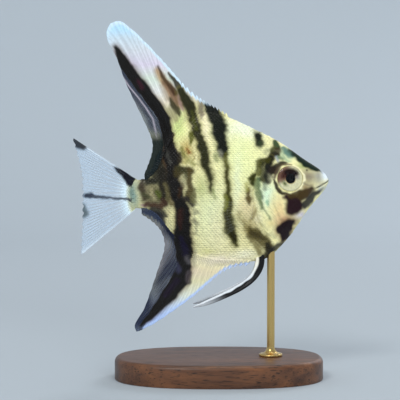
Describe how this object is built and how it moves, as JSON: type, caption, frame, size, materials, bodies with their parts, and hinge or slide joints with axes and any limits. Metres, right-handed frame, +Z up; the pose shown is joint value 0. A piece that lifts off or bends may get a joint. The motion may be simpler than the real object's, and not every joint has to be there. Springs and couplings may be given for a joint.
{
  "type": "marble angelfish on a display stand",
  "caption": "Life-size still model of a young marble freshwater angelfish with tall swept fins, held above a low oval base by a slim rod.",
  "frame": {"origin": "on the floor, under the middle of the whole model's length and width", "axes": "+Z up, +X towards the fish's nose, +Y towards its left flank; its nose points about 5 degrees up"},
  "size_m": [0.0531, 0.027, 0.0736],
  "materials": {
    "fish_skin": "wet satin skin and small scales, cream with black and olive bars",
    "fin": "thin clear membrane over fine rays, barred black, white and cream",
    "eye": "polished, pale gold iris round a black pupil",
    "stand_wood": "dark walnut, satin varnish",
    "stand_metal": "turned brass, fine polish"
  },
  "bodies": {
    "root": {"trunk": "fish_skin", "head": "fish_skin", "upper_jaw": "fish_skin", "lower_jaw": "fish_skin", "tail_stalk": "fish_skin", "gill_cover_left": "fish_skin", "gill_cover_right": "fish_skin", "dorsal_fin": "fin", "anal_fin": "fin", "tail_fin": "fin", "pelvic_fin_left": "fin", "pelvic_fin_right": "fin", "pectoral_fin_left": "fin", "pectoral_fin_right": "fin", "eye_left": "eye", "eye_right": "eye", "stand_base": "stand_wood", "stand_rod": "stand_metal"}
  },
  "joints": []
}
